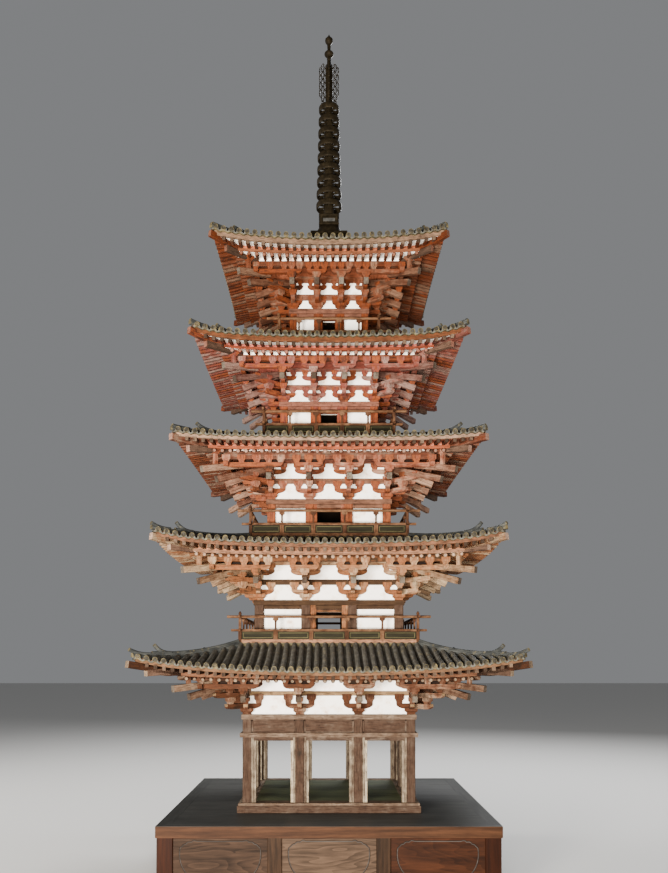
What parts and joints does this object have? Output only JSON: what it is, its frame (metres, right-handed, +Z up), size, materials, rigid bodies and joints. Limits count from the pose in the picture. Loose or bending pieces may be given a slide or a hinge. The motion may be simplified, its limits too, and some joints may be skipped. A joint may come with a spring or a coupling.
{
  "type": "miniature pagoda",
  "caption": "Square wooden pagoda with stacked tiled roofs, bracketed eaves, railed balconies, an open ground storey and a ringed metal finial, on a panelled stand.",
  "frame": {"origin": "centre of the stand's footprint, on the floor", "axes": "+Z up, -Y towards the front, +X to the right seen from the front"},
  "size_m": [1.7306, 1.7306, 4.34],
  "materials": {
    "stand_top": "dark worn board, satin",
    "stand_frame": "orange-brown timber, satin",
    "stand_panels": "grained board with a carved line, satin",
    "old_timber": "bare weathered timber, matt",
    "red_timber": "faded red paint on timber, matt",
    "white_boards": "white chalk paint on boards, matt",
    "roof_tiles": "dark grey paint on carved tiles, matt",
    "finial_bronze": "dark bronze patina, satin"
  },
  "bodies": {
    "root": {"stand_top_board": "stand_top", "stand_frame": "stand_frame", "stand_front_panels": "stand_panels", "stand_right_panels": "stand_panels", "stand_back_panels": "stand_panels", "stand_left_panels": "stand_panels", "ground_sill": "old_timber", "front_posts": "old_timber", "right_posts": "old_timber", "back_posts": "old_timber", "left_posts": "old_timber", "first_storey_tie_beams": "old_timber", "storey1_infill": "white_boards", "storey1_brackets": "red_timber", "storey1_eaves": "red_timber", "storey1_roof": "roof_tiles", "storey2_walls": "white_boards", "storey2_posts": "red_timber", "storey2_balcony": "red_timber", "storey2_brackets": "red_timber", "storey2_eaves": "red_timber", "storey2_roof": "roof_tiles", "storey3_walls": "white_boards", "storey3_posts": "red_timber", "storey3_balcony": "red_timber", "storey3_brackets": "red_timber", "storey3_eaves": "red_timber", "storey3_roof": "roof_tiles", "storey4_walls": "white_boards", "storey4_posts": "red_timber", "storey4_balcony": "red_timber", "storey4_brackets": "red_timber", "storey4_eaves": "red_timber", "storey4_roof": "roof_tiles", "storey5_walls": "white_boards", "storey5_posts": "red_timber", "storey5_balcony": "red_timber", "storey5_brackets": "red_timber", "storey5_eaves": "red_timber", "storey5_roof": "roof_tiles", "finial_base_box": "finial_bronze", "finial_bowl": "finial_bronze", "finial_collar_box": "finial_bronze", "finial_mast": "finial_bronze", "finial_ring_1": "finial_bronze", "finial_ring_2": "finial_bronze", "finial_ring_3": "finial_bronze", "finial_ring_4": "finial_bronze", "finial_ring_5": "finial_bronze", "finial_ring_6": "finial_bronze", "finial_ring_7": "finial_bronze", "finial_ring_8": "finial_bronze", "finial_ring_9": "finial_bronze", "finial_flame": "finial_bronze", "finial_ball": "finial_bronze", "finial_jewel": "finial_bronze"}
  },
  "joints": []
}
